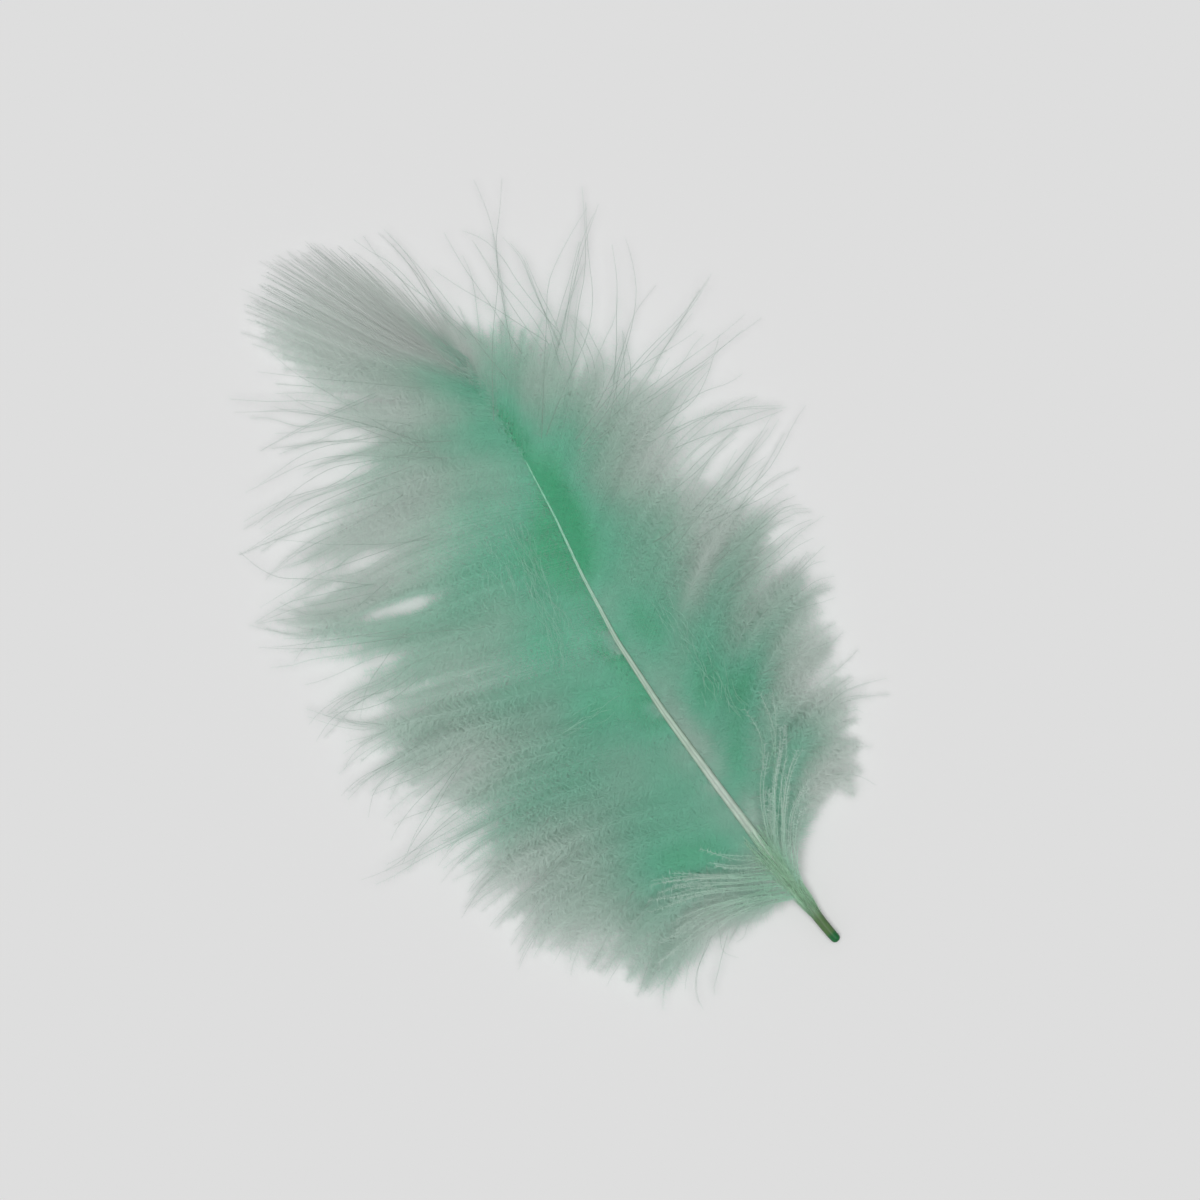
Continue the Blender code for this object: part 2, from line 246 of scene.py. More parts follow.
# Places where the dye lies deeper or is washed out, and patches of painted light that pale shaded spots: x,
# y, how far it reaches, how much
DYE_AND_PAINTED_LIGHT_PATCHES = (
    (9.5, 6, 4.5, -0.24),
    (18, 6, 4, 0.12),
    (24, 3, 5, 0.11),
    (8.5, -5, 4, 0.18),
    (10.5, 44, 6, 0.30),
    (13.6, 38.6, 3.4, 0.30),
    # painted light: pales the crowded, shaded roots near the shaft's tip
    (12.9, 33.6, 2.4, 0.30),
    (17.5, 32, 4, 0.08),
    (3, 36, 5, 0.16),
    (-9, -54.5, 4, 0.25),
    # painted light: these two pale the down where the tufts shade it
    (-14, -47, 4.5, 0.25),
    (-7, -46, 3, 0.10),
    (-8, -23.5, 5, 0.18),
    (10, 25, 3.5, -0.20),
    (1.5, -10, 1.6, -0.35),
    (18, 13, 4, -0.20),
    (17, 24, 5, 0.24),
    (-2, 27, 5, 0.18),
    (0, 17, 4, -0.12),
    (-12, 11, 4, 0.14),
    (26, 16, 4, -0.24),
    (-18, 15, 7, 0.20),
    (-22, 5, 4, -0.14),
    (-6, 5, 4, 0.20),
    (-6, -4.5, 4.5, -0.27),
    (-14, -6, 4, -0.10),
    (-6, -14.5, 4.5, -0.26),
    (10, -15, 4, -0.20),
    (17, -10.5, 4.5, -0.05),
    (10.5, -25.5, 4.5, -0.30),
    (-24, -8, 5, 0.12),
    (-13, -35.5, 7, -0.36),
    (10, -36, 4, -0.28),
    (2, -45, 3.5, -0.18),
    (3, -38, 3.5, -0.20),
    (-5, -36, 3.5, -0.10),
    (20, -34, 5, 0.25),
    (10, -45, 4, 0.25),
)
# How much paler the dye is close beside the shaft, along it, and how far aside that reaches
LEFT_BAND = ((-52, 0.5), (-44, 0.40), (-37, 0.06), (-28, 0.30), (-20, -0.16), (-12, -0.34), (-4, -0.1),
             (4, -0.2), (14, -0.2), (22, -0.05), (30, 0))
RIGHT_BAND = ((-52, 0.45), (-44, 0.5), (-36, 0.36), (-28, 0.7), (-20, 0.32), (-12, 0.5), (-5, 0.45),
              (1, -0.25), (14, -0.1), (22, 0))
BAND_REACH = 2.4
# How unevenly the dye took: how much, in how many waves, and their least and most turns and slant
DYE_DRIFT, DRIFT_WAVES, DRIFT_LEAST, DRIFT_MOST = 0.07, 4, (5, -2), (16, 2)

# Gaps where the down parts and the floor shows: x, y, half their length and half their width
PARTINGS = (
    (-15.4, 12.8, 4, 1.3),
    (-19.8, 15.4, 3, 0.9),
    (-16.4, 22.2, 3.8, 1.1),
    (-23.8, 22.4, 3, 0.7),
    (-23.8, 10, 3.4, 0.8),
    (-30.5, 6.5, 3, 1.1),
    (-31.5, 14.5, 3, 1.1),
    (-26, 27, 3, 1),
    (-9, 42, 4, 1),
    (-12, 33.5, 4, 0.9),
    (-1.1, 38.5, 4, 0.6),
    (-5.5, 36.2, 3.5, 0.8),
    (-7.7, 31.2, 3, 0.6),
    (31, 25, 3.5, 1.3),
    (31, 17.5, 3.5, 1.2),
    (34, 13, 3, 0.9),
)
PARTED_FLUFF = 0.65  # how much shorter barbules are in a gap

# Single hairs and pairs round the edge: x and y in turn, from the tip inwards
LEFT_WISPS = (
    (-10.3, 52.5, -5, 46.5, 0, 41),
    (-15.5, 49.5, -12, 47, -9, 44.5, -6, 40.5, -3, 36),
    (-6.2, 55, -6.1, 48, -5, 43, -3.7, 37, -2.5, 33),
    (-11.8, 48.5, -10, 45, -7, 41),
    (-8.8, 47, -7.5, 43, -4.5, 38),
    (-17, 43, -12, 41.5, -8, 40),
    (-23, 40, -18, 38.7, -12, 37, -8, 34.5, -4, 30.5),
    (-27.5, 36, -22, 36, -15, 36, -10, 35, -6, 32.5),
    (-28.5, 34, -23, 33, -17, 31.5, -11, 29),
    (-25, 35, -22, 31.5, -18, 27, -14, 24),
    (-28.5, 35.5, -28, 31, -27, 28, -24.5, 25),
    (-28, 29, -22, 28, -15, 26),
    (-33, 27.3, -28, 26.3, -22, 24.8, -15, 22),
    (-32, 26.5, -30, 22.5, -27, 18.5, -22, 13, -16, 8.5),
    (-29, 26, -27, 21, -24, 17, -20, 13),
    (-35.5, 23, -33, 20.5, -30, 18, -26, 15),
    (-34, 17.5, -30, 18, -25, 17),
    (-35, 15.5, -30, 13, -24, 10.5, -18, 7.5),
    (-38.5, 10.3, -35, 10.7, -31, 9.8, -27, 8.7, -22, 7.5),
    (-38.3, 8, -35, 8.5, -30, 8),
    (-36, 12.5, -34, 9, -31, 5.5, -28, 2.5, -24, 0),
    (-33.5, 5, -31, 7, -28, 9, -24, 10),
    (-40, 1, -36, 2.5, -33, 2.3, -28, 1),
    (-41, -0.5, -37, -0.4, -31, -1.8),
    (-40, -5, -37, -3, -33, -2.7, -27, -4.5),
    (-42.5, -10, -39, -8, -35, -6.8, -30, -6.2),
    (-40, -8, -38, -8, -33, -9.8),
    (-46.5, -10.2, -43, -11.5, -39, -12, -33, -12, -27, -12),
    (-41, -13, -37, -11.2, -33, -10),
    (-38, -16.5, -34, -15.5, -28, -17),
    (-39, -18.5, -33, -17.8, -26, -18.5),
    (-38.5, -22, -34, -21.2, -28, -20.5),
    (-40, -24, -36, -23.4, -30, -23.3),
    (-39, -27.5, -35, -27, -29, -26.5),
    (-36, -30.5, -31, -29.5),
    (-39.5, -35, -36, -33.5, -32, -32.5, -27, -32),
    (-35, -37.5, -32, -36, -28, -35.3),
    (-33, -41.5, -28, -40),
    (-31.5, -45, -26.5, -43),
    (-29.5, -49, -25, -46.5),
    (-28, -52.5, -25.5, -50.5, -21, -49),
    (-23.5, -57.5, -23, -54.5, -21, -52, -17, -50),
    (-15, -54.5, -16.5, -52, -15, -49),
)
RIGHT_WISPS = (
    (12.7, 57, 13.2, 53, 14, 50, 14, 44),
    (14.4, 56.3, 14.2, 50, 14.5, 46, 15.5, 41),
    (17, 55, 17.2, 48, 16.8, 42, 16.3, 36),
    (18, 47, 18.8, 41, 20, 35.5),
    (23.4, 49, 22.3, 43, 21.5, 36),
    (23.5, 49, 24.5, 47, 26, 44, 26.5, 41, 26, 36),
    (25, 45, 24.3, 40, 23.5, 35),
    (32, 52.5, 30, 47, 27, 41.5, 24, 37.5, 20, 33.3, 17, 30),
    (35.5, 50, 31, 45.5, 27, 41.5, 24, 37),
    (28.5, 43, 28.5, 38, 27, 34),
    (29, 39, 28, 36, 26, 31),
    (44, 38, 40, 37.2, 34, 35.3, 29, 33, 25.5, 29.5, 20, 24),
    (41.5, 36.7, 37, 34.5, 32, 31.5, 27, 28.3),
    (42.5, 40.5, 38.5, 36, 35, 32, 31, 27.5, 28, 25.3, 22, 22.5),
    (42, 33, 40, 29.5, 36.5, 25, 32.5, 22, 28, 19.5),
    (39.5, 32, 36, 27, 32, 23.5),
    (40, 23, 35, 22, 30, 20),
    (47.5, 19, 43, 17.5, 38, 16.7, 32, 16.2, 26, 15),
    (43, 14, 36, 14.2, 28, 15),
    (48, 11.4, 42, 11.7, 36, 12.3, 27, 13),
    (47.8, 9.5, 43, 10.3, 36, 10.7, 25, 12.3),
    (43.5, 12.5, 39, 9.7, 36, 8, 33, 6.9, 28, 7),
    (43.5, 5.2, 38, 6, 35, 7.5, 30, 8.5),
    (44.8, -3, 41, -1.7, 38, 0.8, 35.5, 2.8, 31, 5, 25, 6.5),
    (36, 0.2, 28, 0),
    (38.5, -2.3, 32, -3, 25, -3.5),
    (46, -3, 41, -4.2, 37, -5.7, 33, -6.8, 29, -6.5, 24, -5.2),
    (35.5, -5.3, 29, -5.4),
    (37.5, -9.5, 33, -8.6, 28, -8.5),
    (36.3, -10.8, 31, -9.2),
    (35, -12.3, 31, -11, 27, -11),
    (34.5, -14.2, 32, -12.3, 28, -12),
    (35.5, -17, 31, -15.3, 27, -15),
    (33, -18.2, 29, -17.5),
    (34, -19.7, 28, -20),
    (33, -22.5, 30, -20.3, 26, -19.5),
    (32, -24.7, 29, -22.5, 25, -22),
    (28.8, -26.3, 25, -25),
    (26.5, -31, 22, -29.5),
    (27, -39.5, 24, -37.5, 21, -36, 17, -35.5),
    (20, -41.5, 17, -39.5, 13, -38),
    (18.3, -46.3, 17.8, -43.5, 15.5, -41.5, 12, -40),
    (15.5, -50, 14.5, -47, 12, -44.5, 9, -43),
)
WISP_HAIRS = (1, 1, 2)  # how many hairs cling together in one, by chance
WISP_HEIGHTS = ((3.2, 6.4), (3.2, 5.6), (0.8, 4.4))  # the lowest and highest: root, a third of the way, tip
HEIGHTS_AT = (0, 0.35, 1)  # where along them those heights are
WISP_RADIUS = ((0, 0.030), (0.6, 0.022), (1, 0.009))
WISP_SPREAD = (1.2, 0.15)  # how far they part at their inner ends and at their tips
WISP_SHORTEST = 0.86  # the shortest, as a share of the longest
WISP_FLUFF, WISP_FLUFF_VARIES = ((0, 2), (0.5, 1.3), (1, 0.5)), (0.6, 1.2)
WISP_BARBULES_PER_MM = 10.0
WISP_FADE = ((0, 0.75), (1, 1))
BURIED = 9.0  # how far they go on into the down
LOOSE_LIFT = 0.35  # how far strands that start together rise and sink apart

# Leaf-shaped webs of hairs that meet in a point: how many hairs, half their width, then x and y from the tip
WEBS = (
    (3, 1.6, (38.4, 9.4), (33, 9.6), (28, 8.6), (22, 8)),
    (2, 1.3, (41.6, -2.1), (37, 0.8), (32, 3.4), (26, 5)),
    (4, 1.3, (32.2, 21.2), (29.6, 18.6), (26.5, 15.5), (22, 12.5)),
    (3, 1.2, (28, 28.3), (27.6, 24.8), (26.6, 21.4), (24, 17.8)),
    (3, 1.5, (-35, 9.8), (-31, 8.6), (-26, 6.4), (-20, 5.4)),
    (3, 1.5, (-33.5, 25.6), (-28, 23.6), (-23, 20.4), (-18, 17.5)),
    (3, 1.4, (-38, -2.6), (-34, -3.2), (-29, -4.6), (-22, -5.5)),
)
WEB_HEIGHTS = ((2.6, 3.6), (3, 4.6), (2, 4))
WEB_WIDTHS = (0.7, 1, 0.8, 0.05)  # how wide a web is along it, as shares
WEB_SHORTEST = 0.94
WEB_FLUFF, WEB_FLUFF_SHARES = 2.3, ((0, 1), (0.6, 0.9), (1, 0.15))
WEB_BARBULES_PER_MM = 17.0

# Pale tufts at the base: how many strands, how far they spread at their tips, then x and y along them
TUFTS = (
    (12, 1.7, (-3, -51.5), (-8, -48.5), (-13, -45.4), (-18, -43), (-22.5, -41.2)),
    (12, 1.4, (-2.7, -49.5), (-7, -46.2), (-11, -42.5), (-14.5, -39.8), (-17.5, -38)),
    (5, 0.8, (-2.5, -47.5), (-6.5, -44.2), (-9, -41), (-11, -38)),
    (11, 2, (-3.1, -52.6), (-9.6, -48.9), (-14.8, -46.9), (-19.5, -46), (-24, -45.4)),
    (5, 1.2, (-3.1, -53.2), (-8.6, -49.7), (-13.8, -48), (-18, -48.4)),
    (9, 1, (-2.6, -50), (0.5, -44), (4, -39.4), (8, -35.8), (10.5, -32.8)),
    (10, 1.1, (-2.8, -52), (1.5, -46), (5.5, -42), (8.5, -39.8), (11.5, -38.6)),
    (5, 0.4, (-2.4, -48), (-0.2, -44.4), (1.2, -42), (4, -39)),
    (4, 1.4, (5.5, -38.2), (9, -34.6), (12, -28)),
    (6, 1.1, (-2.9, -53.5), (1, -47.6), (5, -44.4), (9.5, -43.4)),
)
TUFT_HEIGHTS = (5.8, 6.9)  # a third of the way along and at the tip
TUFT_RADIUS = ((0, 0.044), (0.6, 0.034), (1, 0.012))
TUFT_CLUMPS, CLUMP_SPREAD = 4, 0.36  # the streaks that a tuft's strands gather in, and how loosely they do
TUFT_START = 1.1  # how far along the quill a tuft's roots spread
TUFT_ROOT_SPREAD = 0.15  # and how far across
TUFT_SHORTEST = 0.55
TUFT_FLUFF = 0.7
TUFT_BARBULES_PER_MM = 6.0

# Fine fibres that lie on the down: how many, then where the strip that they lie in starts and ends
LINT = (
    (64, (2.8, 11), (-2.6, -3.4)),
    (20, (-2.6, 11.5), (-4.2, 5)),
    (20, (-2, -1), (-5.4, -8)),
    (18, (-4.5, -16.2), (-11.5, -14.2)),
    (22, (10.8, -10), (9.6, -18.5)),
    (14, (10, -19), (7.6, -25)),
    (10, (9.4, -24), (7.9, -30)),
)
LINT_LENGTH = (1.8, 5)
LINT_SPREAD = 1.1  # how far a strip of them spreads across the feather
LINT_SPREAD_ALONG = 0.5  # and along it, as a share of that
LINT_TURN = math.radians(9)
LINT_BOW = 0.10  # how far they bend, as a share of their length
LINT_HEIGHTS = (5.8, 7.1)
LINT_RADIUS = ((0, 0.008), (0.3, 0.020), (0.7, 0.020), (1, 0.008))
LINT_FLUFF = 0.35
LINT_BARBULES_PER_MM = 2.0

# Fibres that cling to the quill's lower end
QUILL_FIBRES = 170
FIBRES_FROM, FIBRES_TO = (-57.5, -50), (-50, -42)  # where along the shaft they start and end
FIBRES_ROUND = 110  # degrees to each side of its top
FIBRES_OFF, FIBRES_OFF_BY = (0.02, 0.3), 0.3  # how far off it they lie, and by which share of their length
FIBRES_FLARE = 2.0  # how far their ends stand off
FIBRE_RADIUS = ((0, 0.010), (0.15, 0.05), (1, 0.030))
FIBRE_FLUFF = 0.35
FIBRE_BARBULES_PER_MM = 5.0

# The shaft's own surface
SHAFT_RINGS, SHAFT_CORNERS = 180, 20
RING_CROWDING = 1.5  # the power by which the rings crowd towards the quill's end
SMOOTHINGS = 3  # how often its course is evened out
END_LENGTH = 0.55  # how long its rounded ends are
GROOVE_DEPTH, GROOVE_WIDTH = 0.34, 0.42  # as a share of its radius, and in radians
GROOVED = ((-50, -44), (4, 14))  # where along the shaft the groove starts and runs out

# The texture map holds how far the dye has faded, or the place along the shaft, and the place around
MAP_EDGE = 0.01  # the margin that every piece keeps in it
MAP_STEP = 0.002  # how far apart the corners of a tube's faces lie in it at least
BLADE_MAP = np.array(((0, 0), (0.006, 0), (0.003, 0.003)))  # a barbule's corners in it

# Colours of the down as the dye fades, and last that of the bare hairs
DOWN_COLOURS = (
    (0, (0.187, 0.70, 0.442)),
    (0.2, (0.364, 0.785, 0.620)),
    (0.4, (0.505, 0.780, 0.665)),
    (0.6, (0.660, 0.805, 0.733)),
    (0.8, (0.795, 0.845, 0.812)),
    (1, (0.600, 0.670, 0.633)),
)
FADED = 0.8  # where on the down's colours the dye is gone
# How the down is tinted around the feather: the fan is greyest, and the base is a little darker, which is
# painted shade
DOWN_TINTS_AND_SHADE = (
    (0, (0.99, 1, 0.995)),
    (0.06, (0.94, 0.98, 0.965)),
    (0.18, (0.93, 0.97, 0.955)),
    (0.3, (0.96, 1, 0.985)),
    (0.43, (0.96, 1, 0.985)),
    (0.48, (1, 1, 1)),
    (0.53, (1, 1, 1)),
    (0.58, (0.96, 1, 0.985)),
    (0.8, (0.94, 0.98, 0.965)),
    (0.88, (0.91, 0.95, 0.935)),
    (1, (0.98, 1, 0.99)),
)
TUFT_COLOURS = ((0, (0.66, 0.95, 0.80)), (0.5, (0.85, 0.97, 0.90)), (1, (0.95, 0.98, 0.96)))
LINT_COLOURS = ((0, (0.66, 0.97, 0.83)), (1, (0.74, 0.98, 0.88)))
FIBRE_COLOURS = ((0, (0.36, 0.60, 0.38)), (0.25, (0.68, 0.94, 0.74)), (1, (0.78, 0.98, 0.85)))
# The shaft from the quill's end: a deep green sealed end, olive quill, then pale horn that turns green
SHAFT_COLOURS = (
    (0, (0.018, 0.17, 0.05)),
    (0.013, (0.018, 0.17, 0.05)),
    (0.019, (0.10, 0.20, 0.065)),
    (0.045, (0.12, 0.22, 0.09)),
    (0.075, (0.31, 0.51, 0.35)),
    (0.16, (0.40, 0.60, 0.46)),
    (0.22, (0.50, 0.62, 0.52)),
    (0.29, (0.55, 0.66, 0.57)),
    (0.36, (0.47, 0.62, 0.50)),
    (0.52, (0.44, 0.60, 0.48)),
    (0.66, (0.38, 0.66, 0.50)),
    (0.74, (0.30, 0.68, 0.48)),
    (1, (0.34, 0.70, 0.52)),
)
# Painted shading round it, from the groove on top round to the groove again: darker in the groove and on its
# sides, lightest on the ridges beside the groove
SHAFT_PAINTED_SHADING = ((0, 0.86), (0.05, 0.98), (0.11, 0.86), (0.22, 0.66), (0.78, 0.70), (0.87, 0.92), (0.95, 1),
                (1, 0.86))
# The darkest and brightest streaks in each material, how fine they are across the map, and the noise's range
BARB_STREAKS, DOWN_STREAKS, HORN_STREAKS = (0.92, 1.04), (0.94, 1.06), (0.84, 1.12)
TUFT_STREAKS, LINT_STREAKS, FIBRE_STREAKS = (0.85, 1.1), (0.95, 1.05), (0.8, 1.15)
DOWN_FINENESS, HORN_FINENESS = (3, 190, 1), (60, 14, 1)
NOISE_DETAIL, NOISE_RANGE = 2, (0.3, 0.7)
DOWN_FINISH = {"Roughness": 0.7, "Specular IOR Level": 0.25}
HORN_FINISH = {"Roughness": 0.42, "Specular IOR Level": 0.3}
DOWN_LETS_THROUGH = 0.42

# The stage: a round floor in metres, an even sky and a soft key light, tilted by a few degrees
FLOOR_FINISH = {"Base Color": (0.84, 0.84, 0.84, 1), "Roughness": 0.9, "Specular IOR Level": 0.0}
FLOOR_RADIUS, FLOOR_CORNERS = 4, 96
SKY_COLOUR, SKY_LIGHT = (1, 1, 1, 1), 0.24
KEY_LIGHT = 1.98
KEY_SOFTNESS = math.radians(40)
KEY_TILT = math.radians(2), math.radians(-2)

# Strands: middle lines, places around the feather, and at every point of the lines how far the dye has faded,
# how long barbules are, and how much of a bare hair it is.
Strands = namedtuple("Strands", "paths around fade fluff bare")


def smooth(value, low, high):
    """A soft step from 0 to 1 between low and high."""
    share = np.clip((value - low) / (high - low), 0.0, 1.0)
    return share * share * (3.0 - 2.0 * share)


def table(pairs, value):
    """Reads a value between the pairs of a short table, and keeps to its first and last beyond them."""
    places, readings = zip(*pairs)
    return np.interp(value, places, readings)


def normalised(vectors):
    """The same directions at length 1."""
    return vectors / np.maximum(np.linalg.norm(vectors, axis=-1, keepdims=True), 1e-9)


def shaft_at(y):
    """The shaft's x, height and radius at a y."""
    return [np.interp(y, SHAFT[:, 1], SHAFT[:, column]) for column in (0, 2, 3)]


def heading(angle, side):
    """The direction turned from the feather's tip by an angle in degrees, towards one side."""
    return np.array((side * math.sin(math.radians(angle)), math.cos(math.radians(angle))))


# Locks

def lock_controls(lock, side, layer):
    """The four Bezier points of a lock's middle line."""
    root_y, tip_x, tip_y, leaves, ends = lock[:5]
    root_x, shaft_z, radius = shaft_at(root_y)
    root, tip = np.array((root_x, root_y)), np.array((tip_x, tip_y))
    reach = np.linalg.norm(tip - root)
    root_z, tip_z = shaft_z - radius * ROOT_DROP, layer[1] * min(1.0, reach / FULL_REACH)
    # The height of the two inner points at which the curve passes its layer's height half way
    bend = (8 * layer[0] - root_z - tip_z) / 6
    flat = (
        root,
        root + heading(leaves, side) * reach * ROOT_PULL,
        tip - heading(ends, side) * reach * TIP_PULL,
        tip,
    )
    return [(*point, height) for point, height in zip(flat, (root_z, bend, bend, tip_z))]


def layered(locks, side, layers):
    """Locks with their side and their layer, which they take in turn."""
    return [(lock, side, layers[number % len(layers)]) for number, lock in enumerate(locks)]


def lock_chain():
    """All locks in order around the feather, from its left base over the tip to its right base."""
    left, right = layered(LEFT_LOCKS, -1, LAYERS), layered(RIGHT_LOCKS, 1, LAYERS)
    return left[::-1] + layered(TIP_FAN, -1, FAN_LAYERS) + layered(FAN_RIGHT, 1, FAN_LAYERS) + right


CHAIN = lock_chain()
CONTROLS = np.array([lock_controls(*entry) for entry in CHAIN])
DENSE = np.array([lock[5] for lock, side, layer in CHAIN])
LAST = len(CHAIN) - 1


def path_points(place, share):
    """Points a share of the way along barbs whose places lie between those of the locks in the chain."""
    place = np.clip(place, 0.0, LAST)
    lower = np.minimum(place.astype(int), LAST - 1)
    rest = 1.0 - share
    weights = np.stack((rest**3, 3 * rest**2 * share, 3 * rest * share**2, share**3), axis=-1)
    here = np.einsum("...k,...kc->...c", weights, CONTROLS[lower])
    beside = np.einsum("...k,...kc->...c", weights, CONTROLS[lower + 1])
    return here + (beside - here) * (place - lower)[..., None]


# Barbs

def waves(share, count, turns, swings, rng, scale=1.0):
    """A wave of its own along each of the strands. Turns and swings are the least and the most."""
    turn, phase = rng.uniform(*turns, count), rng.uniform(0, 1, count)
    swing = rng.uniform(*swings, count) * scale
    return swing[:, None] * np.sin(2 * np.pi * (turn[:, None] * share + phase[:, None]))


def sideways(paths):
    """The level direction across each path, at every point."""
    return normalised(np.cross(np.gradient(paths, axis=1), (0.0, 0.0, 1.0)))


def barb_lengths(dense, around, rng):
    """How far each barb reaches along its lock: most end with the dense down, and some are long hairs."""
    count = len(dense)
    hairs, half_way = table(HAIRS, around), table(HALF_WAY, around)
    kind = rng.uniform(0, 1, count)
    in_fan, elsewhere = rng.uniform(*FAN_REACH, count), rng.uniform(*DOWN_REACH, count)
    downy = dense * np.where(dense > FAN_DENSE, in_fan, elsewhere)
    between = dense + (1.0 - dense) * rng.uniform(*HALF_WAY_REACH, count)
    hair = rng.uniform(*HAIR_REACH, count)
    return np.where(kind < hairs, hair, np.where(kind < hairs + half_way, between, downy))


def clinging(places, share, dense):
    """Each barb's place in the chain as it goes out: it joins a strand, and then its lock's middle line."""
    strands = np.cumsum(table(STRANDS_PER_LOCK, places / LAST)) / BARBS_PER_LOCK
    strand = np.interp(np.floor(strands) + 0.5, strands, places)
    place = places[:, None] + (strand - places)[:, None] * smooth(share, *CLINGING) * CLING
    ends = dense[:, None]
    gathered = table(GATHER, ends) * smooth(share, ends - GATHER_BEFORE, ends + GATHER_PAST)
    return place + (np.round(places)[:, None] - place) * gathered


def swayed(paths, around, dense, share, rng):
    """Bends each barb in its own way, lets its end stray, and lifts or sinks it in its layer."""
    count = len(paths)
    stiff = table(STIFFNESS, around)
    sway = waves(share, count, *SLOW_SWAY, rng, stiff)
    sway += waves(share, count, *QUICK_SWAY, rng, stiff)
    loose_from = dense[:, None] * STRAY_FROM
    loose = np.clip((share - loose_from) / (1.0 - loose_from), 0.0, 1.0)
    stray = (rng.normal(0.0, STRAY, count) * stiff)[:, None] * loose**STRAY_CURVE
    paths = paths + sideways(paths) * (sway * share**SWAY_CURVE + stray)[..., None]
    level = np.clip(rng.normal(0.0, LEVEL, count), *LEVEL_LIMITS)[:, None]
    lift = waves(share, count, *LIFT, rng)
    height = paths[..., 2] + level * smooth(share, *LEVEL_REACHED) + lift * share
    paths[..., 2] = np.clip(height, LOWEST, HIGHEST)
    return paths


def cover_shaft(paths, share, rng):
    """Near the tip the barbs' roots cross over the shaft and hide it."""
    count = len(paths)
    over = smooth(paths[:, 0, 1], *COVERED)[:, None] * (1.0 - smooth(share, 0.0, COVER_OUT))
    aside, above = rng.normal(0.0, COVER_ASIDE, count), rng.uniform(*COVER_ABOVE, count)
    shift = np.stack((aside, np.zeros(count), above), axis=1)
    return paths + shift[:, None, :] * over[..., None]


def parted(paths):
    """Pushes the barbs apart round the gaps, and says how near to a gap each point comes, from 0 to 1."""
    across = sideways(paths)[..., :2]
    along = np.stack((-across[..., 1], across[..., 0]), axis=-1)
    near_gap = np.zeros(paths.shape[:2])
    for x, y, half_length, half_width in PARTINGS:
        away = paths[..., :2] - np.array((x, y))
        ahead, aside = np.sum(away * along, axis=-1), np.sum(away * across, axis=-1)
        nearest = np.argmin(np.abs(ahead), axis=1)
        side = np.where(aside[np.arange(len(paths)), nearest] < 0, -1.0, 1.0)[:, None]
        level = np.exp(-((ahead / half_length) ** 2))
        push = half_width * level * np.exp(-np.abs(aside) / (2 * half_width))
        paths = paths + np.append(across, np.zeros_like(across[..., :1]), axis=-1) * (side * push)[..., None]
        left = np.abs(aside) + push
        near_gap = np.maximum(near_gap, level * np.exp(-((left / (2 * half_width)) ** 2)))
    return paths, near_gap


def faded(around, share, reach, paths, rng):
    """How far the dye has faded at every point of the paths, with a few patches of painted light on shaded
    spots.
    """
    fade = table(FADE_START, around)[:, None] + table(FADE_RATE, around)[:, None] * share * reach
    for x, y, size, amount in DYE_AND_PAINTED_LIGHT_PATCHES:
        away = ((paths[..., 0] - x) ** 2 + (paths[..., 1] - y) ** 2) / size**2
        fade = fade + amount * np.exp(-away)
    shaft_x, _, radius = shaft_at(paths[..., 1])
    beside = paths[..., 0] - shaft_x
    band = np.where(beside > 0, table(RIGHT_BAND, paths[..., 1]), table(LEFT_BAND, paths[..., 1]))
    fade = fade + band * np.exp(-((np.maximum(np.abs(beside) - radius, 0.0) / BAND_REACH) ** 2))
    for turns, slant in rng.uniform(DRIFT_LEAST, DRIFT_MOST, (DRIFT_WAVES, 2)):
        turned = turns * around[:, None] + slant * share + rng.uniform()
        fade = fade + DYE_DRIFT * np.sin(2 * np.pi * turned)
    return np.clip(fade, 0.0, 1.0)


def barb_strands(rng):
    """All barbs, from the left base over the tip to the right base."""
    count = LAST * BARBS_PER_LOCK
    places = (np.arange(count) + rng.uniform(*ROOT_PLACES, count)) / BARBS_PER_LOCK
    around = places / LAST
    locks = np.arange(LAST + 1)
    dense = np.interp(places, locks, DENSE)
    share = ALONG * barb_lengths(dense, around, rng)[:, None]
    paths = swayed(path_points(clinging(places, share, dense), share), around, dense, share, rng)
    paths, near_gap = parted(cover_shaft(paths, share, rng))
    lock_reach = np.linalg.norm(CONTROLS[:, 3, :2] - CONTROLS[:, 0, :2], axis=1)
    reach = np.interp(places, locks, lock_reach)[:, None]
    turns_bare = (dense * table(BARE_START, around))[:, None]
    bare = smooth(share, turns_bare, turns_bare + TURNING_BARE)
    fluff = table(BARBULE_SHARES, ALONG) * table(FLUFF, around)[:, None] * (1.0 - (1.0 - HAIR_FLUFF) * bare)
    fluff = fluff * (1.0 - PARTED_FLUFF * near_gap)
    return Strands(paths, around, faded(around, share, reach, paths, rng), fluff, bare)


# Loose strands

def through_points(points):
    """A smooth line through the points, in even steps."""
    points = np.array(points, float)
    gaps = np.concatenate(((0.0,), np.cumsum(np.linalg.norm(np.diff(points, axis=0), axis=1))))
    at = np.linspace(0.0, gaps[-1], BARB_STEPS)
    slopes = np.gradient(points, gaps, axis=0)
    piece = np.clip(np.searchsorted(gaps, at, side="right") - 1, 0, len(points) - 2)
    width = (gaps[piece + 1] - gaps[piece])[:, None]
    t = (at[:, None] - gaps[piece][:, None]) / width
    first = points[piece] * (1 + 2 * t) * (1 - t) ** 2 + slopes[piece] * width * t * (1 - t) ** 2
    return first + points[piece + 1] * t**2 * (3 - 2 * t) + slopes[piece + 1] * width * t**2 * (t - 1)


